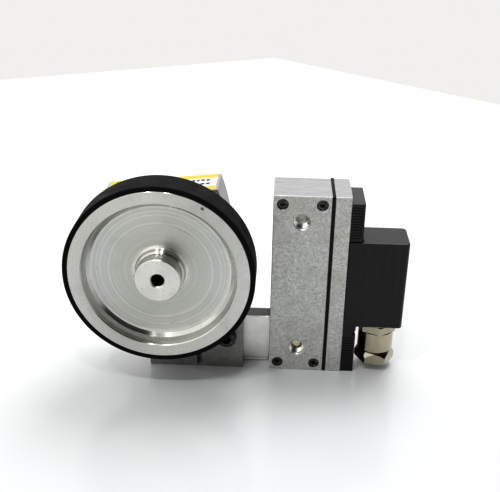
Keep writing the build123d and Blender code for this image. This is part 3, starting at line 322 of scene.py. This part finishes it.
def turned_aluminium():
    """The wheel: tool marks around the axis, with a finish of its own in each zone."""
    g = Graph("turned_aluminium")
    r = g.from_line(AXIS_X, AXIS_Z)
    rings = g.add("ShaderNodeCombineXYZ")
    g.put(rings.inputs[0], r)
    edge = 0.25 * MM

    def beyond(zone_r, soft=edge):
        return g.spread(r, zone_r - soft, zone_r + soft)

    def swap(value, zone_r, new_value, soft=edge):
        """The value up to a radius, and another one beyond it."""
        keep = g.math("MULTIPLY", value, g.math("SUBTRACT", 1.0, beyond(zone_r, soft)))
        return g.math("ADD", keep, g.math("MULTIPLY", beyond(zone_r, soft), new_value))

    tool = g.noise(0.30 * MM, 2.0, rings.outputs[0], 1.0)
    bands = g.noise(2.4 * MM, 3.0, rings.outputs[0], 2.0)
    speck = g.noise(0.8 * MM, 3.0, None, 3.0)
    stain = g.noise(10 * MM, 3.0, None, 4.0)
    marks = g.math("ADD", g.math("MULTIPLY", bands, 0.6), g.math("MULTIPLY", tool, 0.4))

    boss = g.mix(g.spread(speck, 0.3, 0.7), (0.72, 0.72, 0.68), (0.80, 0.80, 0.76))
    foot = g.mix(g.spread(bands, 0.35, 0.65), (0.60, 0.60, 0.57), (0.74, 0.74, 0.70))
    inner_web = g.mix(g.spread(marks, 0.3, 0.7), (0.50, 0.505, 0.475), (0.60, 0.605, 0.57))
    outer_web = g.mix(g.spread(marks, 0.38, 0.62), (0.53, 0.535, 0.505), (0.68, 0.685, 0.65))
    wall = g.mix(g.spread(marks, 0.38, 0.62), (0.60, 0.605, 0.575), (0.72, 0.725, 0.69))
    rim = g.mix(g.spread(speck, 0.25, 0.75), (0.61, 0.615, 0.58), (0.69, 0.695, 0.66))
    # Painted shade: the bore inside BORE_R is near-black, for the shade deep inside it.
    colour = g.mix(beyond(BORE_R, 0.2 * MM), (0.015, 0.015, 0.015), boss)
    colour = g.mix(beyond(BOSS_FACE_R), colour, foot)
    colour = g.mix(beyond(BOSS_FOOT_R, 1.2 * MM), colour, inner_web)
    colour = g.mix(beyond(WEB_STEP_R), colour, outer_web)
    colour = g.mix(beyond(WALL_R, 1.0 * MM), colour, wall)
    colour = g.mix(beyond(RIM_FACE_R), colour, rim)
    colour = g.mix(g.math("MULTIPLY", g.spread(stain, 0.5, 0.7), 0.25), colour, (0.46, 0.46, 0.435))
    # Painted highlight: two thin rings painted bright, for the light caught by grooves that the tool left.
    for highlight_ring_r in HIGHLIGHT_RING_RS:
        off = g.math("ABSOLUTE", g.math("SUBTRACT", r, highlight_ring_r))
        bright = g.math("MULTIPLY", g.spread(off, *HIGHLIGHT_RING_FADE), 0.6)
        colour = g.mix(bright, colour, (0.80, 0.80, 0.77))
    # Painted shade: a ragged near-black patch on the rim stands in for the shade in a dent.
    ragged = g.math("MULTIPLY", speck, 1.2 * MM)
    from_dent_shade = g.math("ADD", g.from_line(AXIS_X + DENT_SHADE_X, AXIS_Z + DENT_SHADE_Z), ragged)
    dent_shade = g.math("MULTIPLY", g.spread(from_dent_shade, *DENT_SHADE_FADE), 0.8)
    colour = g.mix(dent_shade, colour, (0.06, 0.06, 0.06))
    pits = g.spread(g.noise(1.3 * MM, 1.0, None, 9.0), 0.70, 0.76)
    g.set("Base Color", g.mix(g.math("MULTIPLY", pits, 0.5), colour, (0.22, 0.22, 0.21)))

    rough = swap(0.36, BOSS_FACE_R, 0.20)
    rough = swap(rough, BOSS_FOOT_R, 0.32, 1.0 * MM)
    rough = swap(rough, WEB_STEP_R, 0.36)
    rough = swap(rough, WALL_BRIGHT_R, 0.17, 1.0 * MM)
    rough = swap(rough, RIM_FACE_R, 0.42)
    rough = swap(rough, RIM_EDGE_R, 0.14, 0.1 * MM)
    g.set("Roughness", g.math("MULTIPLY", rough, g.spread(bands, 0.3, 0.7, 0.9, 1.15)))
    g.set("Metallic", 0.95)
    # The radial tangent runs around the axis, and a quarter turn makes the gloss spread
    # across the tool marks.
    g.set("Anisotropic", 0.75)
    g.set("Anisotropic Rotation", 0.25)
    g.set("Tangent", g.add("ShaderNodeTangent", direction_type="RADIAL", axis="Y").outputs[0])
    relief = g.math("ADD", g.math("MULTIPLY", tool, 0.5), g.math("MULTIPLY", speck, 0.5))
    g.set("Normal", g.bump(relief, 0.010 * MM, g.rounded(0.2 * MM)))
    return g.material


def tyre_rubber():
    g = surface("tyre_rubber", (0.010, 0.010, 0.011), (0.005, 0.005, 0.006), 0.58,
                grain=0.5 * MM, depth=0.03 * MM, blotch=8 * MM, round_edge=0.3 * MM,
                wear=0.5, worn=(0.03, 0.03, 0.03), seed=6.0)
    g.set("Specular IOR Level", 0.12)
    return g.material


def seal_rubber():
    g = surface("seal_rubber", (0.014, 0.014, 0.014), (0.008, 0.008, 0.008), 0.7,
                grain=0.4 * MM, depth=0.02 * MM, blotch=5 * MM, round_edge=0.15 * MM, seed=7.0)
    g.set("Specular IOR Level", 0.3)
    return g.material


def black_plastic():
    """Glass-filled nylon of the plug and its base, a little paler along its creases as a painted highlight.
    """
    g = surface("black_plastic", (0.006, 0.006, 0.008), (0.003, 0.003, 0.004), 0.30,
                grain=0.35 * MM, depth=0.02 * MM, blotch=6 * MM, round_edge=0.5 * MM, seed=8.0)
    # Painted highlight: pale lines along the creases and flute edges.
    crease_highlight = g.edges(g.normal, 0.9995, 0.985)
    g.set("Base Color", g.mix(g.math("MULTIPLY", crease_highlight, 0.8), g.colour, (0.030, 0.030, 0.034)))
    return g.material


def red_plastic():
    return surface("red_plastic", (0.50, 0.05, 0.04), (0.38, 0.035, 0.03), 0.4,
                   grain=0.3 * MM, depth=0.01 * MM, blotch=3 * MM, round_edge=0.1 * MM, seed=9.0).material


def nickel():
    """Nickel-plated brass, warm and mirror-like, with a faint turned grain."""
    return surface("nickel", (0.49, 0.455, 0.36), (0.41, 0.38, 0.295), 0.09, 1.0,
                   grain=0.3 * MM, depth=0.004 * MM, blotch=5 * MM, round_edge=0.25 * MM,
                   wear=0.5, worn=(0.86, 0.82, 0.70), seed=10.0, brush=(1, 1, 6)).material


def brass():
    return surface("brass", (0.72, 0.54, 0.25), (0.56, 0.41, 0.18), 0.28, 1.0,
                   grain=0.3 * MM, depth=0.008 * MM, blotch=4 * MM, round_edge=0.15 * MM,
                   wear=0.4, worn=(0.85, 0.68, 0.36), seed=11.0).material


def grey_paint():
    return surface("grey_paint", (0.38, 0.385, 0.38), (0.33, 0.335, 0.33), 0.42,
                   grain=0.6 * MM, depth=0.02 * MM, blotch=10 * MM, round_edge=0.4 * MM,
                   wear=0.6, worn=(0.30, 0.30, 0.30), seed=12.0).material


def dark_anodised():
    return surface("dark_anodised", (0.04, 0.04, 0.042), (0.02, 0.02, 0.022), 0.38, 0.6,
                   grain=0.4 * MM, depth=0.015 * MM, blotch=7 * MM, round_edge=0.3 * MM,
                   wear=0.5, worn=(0.25, 0.25, 0.25), seed=13.0).material


def label_film():
    return surface("label_film", (0.80, 0.80, 0.77), (0.74, 0.74, 0.71), 0.30,
                   grain=0.8 * MM, depth=0.006 * MM, blotch=12 * MM, round_edge=0.1 * MM,
                   seed=14.0).material


def yellow_print():
    return surface("yellow_print", (0.66, 0.52, 0.035), (0.60, 0.46, 0.03), 0.34,
                   grain=0.5 * MM, depth=0.006 * MM, blotch=8 * MM, round_edge=0.05 * MM,
                   seed=15.0).material


def dark_print():
    return surface("dark_print", (0.03, 0.03, 0.03), (0.015, 0.015, 0.015), 0.4,
                   grain=0.4 * MM, depth=0.006 * MM, blotch=5 * MM, round_edge=0.05 * MM,
                   seed=16.0).material


def solder_mask():
    return surface("solder_mask", (0.03, 0.20, 0.09), (0.02, 0.14, 0.06), 0.32,
                   grain=0.6 * MM, depth=0.02 * MM, blotch=5 * MM, round_edge=0.1 * MM,
                   seed=17.0).material


def disc_glass():
    g = surface("disc_glass", (0.70, 0.76, 0.76), (0.62, 0.69, 0.69), 0.08,
                grain=0.5 * MM, depth=0.002 * MM, blotch=6 * MM, round_edge=0.05 * MM, seed=18.0)
    g.set("Transmission Weight", 0.8)
    return g.material


SLOT_FINISHES = {
    "block_aluminium": blasted_aluminium,
    "clamp_aluminium": milled_aluminium,
    "bar_steel": ground_steel,
    "black_screw": black_oxide,
    "bright_steel": bright_steel,
    "wheel_aluminium": turned_aluminium,
    "tyre_rubber": tyre_rubber,
    "seal_rubber": seal_rubber,
    "black_plastic": black_plastic,
    "plunger_plastic": red_plastic,
    "nickel": nickel,
    "brass": brass,
    "housing_grey": grey_paint,
    "flange_dark": dark_anodised,
    "label_film": label_film,
    "board_green": solder_mask,
    "disc_glass": disc_glass,
}
finishes = {slot: make() for slot, make in SLOT_FINISHES.items()}
for part in frame["record"]["subparts"]:
    mesh = frame["nodes"][part["node"]].data
    mesh.materials.clear()
    mesh.materials.append(finishes[part["material_slot"]])


# ---------------------------------------------------------------- mesh helpers
def mesh_object(name, points, faces, material, smooth=False):
    mesh = bpy.data.meshes.new(name)
    mesh.from_pydata(points, [], faces)
    mesh.update()
    if smooth:
        mesh.shade_smooth()
    mesh.materials.append(material)
    piece = bpy.data.objects.new(name, mesh)
    bpy.context.scene.collection.objects.link(piece)
    return piece


def thread_ridge(name, x, z, y_start, y_end, root_r, crest_r, pitch, body, material):
    """A thread's ridge around a line along Y: a small triangle carried round a helix."""
    per_turn = 40
    run_out = 12
    width = 0.8 * pitch
    steps = int((y_end - y_start - width) / pitch * per_turn)
    points = []
    faces = []
    for n in range(steps + 1):
        angle = 2 * pi * n / per_turn
        y = y_start + pitch * n / per_turn
        grown = max(0.1, min(1.0, n / run_out, (steps - n) / run_out))
        tip_r = root_r + (crest_r - root_r) * grown
        for r, along in ((root_r, 0), (tip_r, width / 2), (root_r, width)):
            points.append((x + r * cos(angle), y + along, z + r * sin(angle)))
    for n in range(steps):
        a, b = 3 * n, 3 * n + 3
        for k in range(3):
            m = (k + 1) % 3
            faces.append((a + k, a + m, b + m, b + k))
    faces.append((2, 1, 0))
    faces.append((3 * steps, 3 * steps + 1, 3 * steps + 2))
    ridge = mesh_object(name, points, faces, material)
    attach(ridge, body)


def coil(name, x, y, z_start, z_end, coil_r, wire_r, turns, material):
    """A wire of round section carried round a helix along Z, closed at both ends."""
    per_turn = 32
    per_wire = 10
    steps = turns * per_turn
    rise = (z_end - z_start) / steps
    lean = rise * per_turn / (2 * pi * coil_r)
    points = []
    faces = []
    for n in range(steps + 1):
        angle = 2 * pi * n / per_turn
        outward = Vector((cos(angle), sin(angle), 0))
        along = Vector((-sin(angle), cos(angle), lean)).normalized()
        across = along.cross(outward)
        centre = Vector((x, y, z_start + rise * n)) + coil_r * outward
        for k in range(per_wire):
            turn = 2 * pi * k / per_wire
            points.append(centre + wire_r * (cos(turn) * outward + sin(turn) * across))
    for n in range(steps):
        a, b = per_wire * n, per_wire * (n + 1)
        for k in range(per_wire):
            m = (k + 1) % per_wire
            faces.append((a + k, b + k, b + m, a + m))
    faces.append(tuple(range(per_wire)))
    faces.append(tuple(per_wire * steps + k for k in reversed(range(per_wire))))
    return mesh_object(name, points, faces, material, smooth=True)


def rounded_rectangle(x0, x1, y0, y1, r):
    """Its outline, anticlockwise, with each corner as a quarter circle."""
    per_corner = 4
    outline = []
    for corner, (x, y) in enumerate(((x1 - r, y1 - r), (x0 + r, y1 - r), (x0 + r, y0 + r), (x1 - r, y0 + r))):
        for n in range(per_corner + 1):
            angle = pi / 2 * (corner + n / per_corner)
            outline.append((x + r * cos(angle), y + r * sin(angle)))
    return outline


def plates(name, outlines, z0, z1, place, material):
    """Thin flat plates of the given outlines, all in one mesh."""
    points = []
    faces = []
    for outline in outlines:
        first, count = len(points), len(outline)
        for z in (z0, z1):
            points += [place @ Vector((x, y, z)) for x, y in outline]
        low = [first + n for n in range(count)]
        high = [first + count + n for n in range(count)]
        faces.append(low[::-1])
        faces.append(high)
        for n in range(count):
            m = (n + 1) % count
            faces.append((low[n], low[m], high[m], high[n]))
    return mesh_object(name, points, faces, material)


# ---------------------------------------------------------------- threads in the holes
def m8_threads():
    """In the block above and below, and again behind the arm's pocket in the lower hole."""
    front, back = BLOCK_LOW[1] + M8_MOUTH, BLOCK_HIGH[1]
    sleeve_low, sleeve_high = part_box("pivot_sleeve")
    upper_z, lower_z = HOLE_ZS
    runs = {
        "upper_thread": (upper_z, front, back),
        "lower_thread_front": (lower_z, front, sleeve_low[1]),
        "lower_thread_back": (lower_z, sleeve_high[1], back),
    }
    bright = cut_thread()
    for name, (z, y0, y1) in runs.items():
        thread_ridge(name, HOLE_X, z, y0, y1, M8_ROOT_R, M8_CREST_R, M8_PITCH,
                     "housing", bright)


def bore_thread():
    """The jacking thread in the wheel's bore, in front of the shaft."""
    shaft_low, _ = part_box("encoder_shaft")
    y0 = WHEEL_LOW[1] + JACK_MOUTH
    y1 = shaft_low[1] - JACK_SHAFT_GAP
    thread_ridge("bore_thread", AXIS_X, AXIS_Z, y0, y1, JACK_ROOT_R, JACK_CREST_R, JACK_PITCH,
                 "wheel", finishes["wheel_aluminium"])


# ---------------------------------------------------------------- spring over the arm's tongue
SPRING_WIRE_R = 0.55 * MM
SPRING_TURNS = 8


def pressed_spring():
    """A coil of wire in place of the rigid spring node, on the housing, with a mesh of its own."""
    low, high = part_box("return_spring")
    x, y = (low[0] + high[0]) / 2, (low[1] + high[1]) / 2
    coil_r = (high[0] - low[0]) / 2 - SPRING_WIRE_R
    piece = coil("coil_spring", x, y, low[2] + SPRING_WIRE_R, high[2] - SPRING_WIRE_R, coil_r, SPRING_WIRE_R,
                 SPRING_TURNS, finishes["bright_steel"])
    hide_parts("return_spring")
    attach(piece, "housing")
    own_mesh(piece)


# ---------------------------------------------------------------- print on the encoder's label
# The encoder's roll, then the label's height over the wheel's axis and half its width
# before that roll.
ENCODER_ROLL = radians(-6.3)
LABEL_TOP = 32.05 * MM
LABEL_HALF = 28.9 * MM
LABEL_MARGIN = 0.2 * MM
LABEL_LOW, LABEL_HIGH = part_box("encoder_label")
PRINT_T = 0.04 * MM
PRINT_SINK = 0.01 * MM
STRIPE_W = 5.4 * MM
STRIPE_CORNER_R = 0.4 * MM
PATCH_L = 9.0 * MM
PATCH_W = 3.0 * MM
PATCH_GAP = 0.1 * MM

# The rows of dashes, by their distance from the print's back edge. Each dash's length
# and gap is drawn from a range in millimetres.
ROW_DROPS = (8.2 * MM, 13.4 * MM)
ROW_START = 3 * MM
ROW_END = 5 * MM
DASH_H = 2.5 * MM
DASH_CORNER_R = 0.5 * MM
DASH_LENGTHS = (1.2, 2.6)
DASH_GAPS = (0.6, 0.9)

# The mark on the stripe along the back edge.
MARK_START = 3 * MM
MARK_END = 7 * MM
MARK_HALF_W = 0.6 * MM


def label_print():
    """Two yellow stripes, a yellow corner patch, and two rows of plain dashes between them."""
    place = Matrix.Translation((AXIS_X, 0, AXIS_Z)) @ Matrix.Rotation(ENCODER_ROLL, 4, "Y")
    x0, x1 = -LABEL_HALF + LABEL_MARGIN, LABEL_HALF - LABEL_MARGIN
    y0, y1 = LABEL_LOW[1] + LABEL_MARGIN, LABEL_HIGH[1] - LABEL_MARGIN
    patch_y = y1 - STRIPE_W
    stripes = [
        rounded_rectangle(x0, x1, patch_y, y1, STRIPE_CORNER_R),
        rounded_rectangle(x0, x1, y0, y0 + STRIPE_W, STRIPE_CORNER_R),
        rounded_rectangle(x0, x0 + PATCH_L, patch_y - PATCH_W, patch_y - PATCH_GAP, STRIPE_CORNER_R),
    ]
    draw = random.Random(7)
    dashes = []
    for drop in ROW_DROPS:
        y = y1 - drop
        x = x0 + PATCH_L + ROW_START
        while x < x1 - ROW_END:
            length = draw.uniform(*DASH_LENGTHS) * MM
            dashes.append(rounded_rectangle(x, x + length, y - DASH_H / 2, y + DASH_H / 2, DASH_CORNER_R))
            x += length + draw.uniform(*DASH_GAPS) * MM
    mark_y = y1 - STRIPE_W / 2
    marks = [rounded_rectangle(x0 + MARK_START, x0 + MARK_END, mark_y - MARK_HALF_W, mark_y + MARK_HALF_W,
                               DASH_CORNER_R)]
    top = LABEL_TOP - PRINT_SINK
    layers = {
        "label_stripes": (stripes, top + PRINT_T, yellow_print()),
        "label_dashes": (dashes, top + PRINT_T, dark_print()),
        "label_mark": (marks, top + 2 * PRINT_T, dark_print()),
    }
    for name, (outlines, z1, material) in layers.items():
        piece = plates(name, outlines, top, z1, place, material)
        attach(piece, "carriage")


# ---------------------------------------------------------------- stage, light and camera
TABLE_CORNERS = ((-2.10, -0.27), (-0.6, -1.6), (1.4, -1.6), (1.75, -0.67), (0.004, 0.767))

# The direction in which the sky is dim, and its strength away from there and towards it.
DIM_SIDE = (0.66, -0.50, 0.56)
SKY_HIGH_UP = (1.18, 0.03)
SKY_AT_EYE_LEVEL = (0.80, 0.50)

# Each light's place, the point that it faces, its size and its power in watts.
LIGHTS = {
    "ceiling": ((0.20, 0.40, 1.08), (0, 0, 0), (0.6, 0.45), 5.3),
    "lamp_middle": ((-0.02, -0.40, 0.88), (0, 0, 0.05), (0.035, 0.035), 0.8),
    "lamp_left": ((-0.27, -0.38, 0.85), (0, 0, 0.05), (0.035, 0.035), 0.8),
}

EYE = (0.02032, -0.37697, 0.24934)
EYE_YAW = radians(-2.36)
EYE_PITCH = radians(25.56)
EYE_ROLL = radians(-0.99)
SENSOR_MM = 36.0
LENS_MM = 57.57


def area_light(name, place, target, size, power):
    data = bpy.data.lights.new(name, "AREA")
    data.shape = "RECTANGLE"
    data.size, data.size_y = size
    data.energy = power
    light = bpy.data.objects.new(name, data)
    light.location = place
    light.rotation_euler = (Vector(target) - Vector(place)).to_track_quat("-Z", "Y").to_euler()
    bpy.context.scene.collection.objects.link(light)


def floor():
    """A pale table with painted shade, darker in front and darker still to the sides in front. Its far corner
    is behind the object.
    """
    g = Graph("table_white")
    g.set("Roughness", 0.20)
    # Painted shade: the table's colour darkens towards the front, and more so to the sides there.
    towards_back = g.spread(g.place_part("Y"), -0.25, 0.20)
    to_a_side = g.spread(g.math("ABSOLUTE", g.place_part("X")), 0.05, 0.25)
    shaded_front = g.mix(to_a_side, (0.69, 0.705, 0.72), (0.64, 0.655, 0.67))
    g.set("Base Color", g.mix(towards_back, shaded_front, (0.80, 0.82, 0.84)))
    corners = [(x, y, 0) for x, y in TABLE_CORNERS]
    table = mesh_object("table", corners, [tuple(range(len(corners)))], g.material)


def sky():
    """Pale at eye level and brighter higher up, but dim to the right in front."""
    world = bpy.data.worlds.new("studio")
    world.use_nodes = True
    bpy.context.scene.world = world
    tree = world.node_tree
    direction = tree.nodes.new("ShaderNodeTexCoord").outputs["Generated"]

    def ranged(value, low, high, out_low, out_high):
        node = tree.nodes.new("ShaderNodeMapRange")
        node.interpolation_type = "SMOOTHSTEP"
        tree.links.new(value, node.inputs["Value"])
        node.inputs["From Min"].default_value = low
        node.inputs["From Max"].default_value = high
        for name, level in (("To Min", out_low), ("To Max", out_high)):
            if isinstance(level, bpy.types.NodeSocket):
                tree.links.new(level, node.inputs[name])
            else:
                node.inputs[name].default_value = level
        return node.outputs[0]

    split = tree.nodes.new("ShaderNodeSeparateXYZ")
    tree.links.new(direction, split.inputs[0])
    to_dim_side = tree.nodes.new("ShaderNodeVectorMath")
    to_dim_side.operation = "DOT_PRODUCT"
    tree.links.new(direction, to_dim_side.inputs[0])
    to_dim_side.inputs[1].default_value = DIM_SIDE
    high_up = ranged(to_dim_side.outputs["Value"], 0.48, 0.84, *SKY_HIGH_UP)
    at_eye_level = ranged(to_dim_side.outputs["Value"], 0.55, 0.90, *SKY_AT_EYE_LEVEL)
    strength = ranged(split.outputs["Z"], 0.10, 0.35, at_eye_level, high_up)
    background = tree.nodes["Background"]
    tree.links.new(strength, background.inputs["Strength"])
    background.inputs["Color"].default_value = (1.0, 0.99, 0.97, 1.0)


def camera():
    ahead = Vector((sin(EYE_YAW) * cos(EYE_PITCH), cos(EYE_YAW) * cos(EYE_PITCH), -sin(EYE_PITCH)))
    level = Vector((cos(EYE_YAW), -sin(EYE_YAW), 0))
    below = ahead.cross(level)
    right = cos(EYE_ROLL) * level + sin(EYE_ROLL) * below
    down = cos(EYE_ROLL) * below - sin(EYE_ROLL) * level
    data = bpy.data.cameras.new("camera")
    data.sensor_width = SENSOR_MM
    data.lens = LENS_MM
    eye = bpy.data.objects.new("camera", data)
    turn = Matrix((right, -down, -ahead)).transposed().to_4x4()
    eye.matrix_world = Matrix.Translation(EYE) @ turn
    bpy.context.scene.collection.objects.link(eye)
    bpy.context.scene.camera = eye


m8_threads()
bore_thread()
pressed_spring()
label_print()

bpy.context.scene.view_settings.view_transform = "Standard"
bpy.context.scene.view_settings.look = "High Contrast"
bpy.context.scene.view_settings.exposure = -0.35
floor()
sky()
for name, (place, target, size, power) in LIGHTS.items():
    area_light(name, place, target, size, power)
camera()
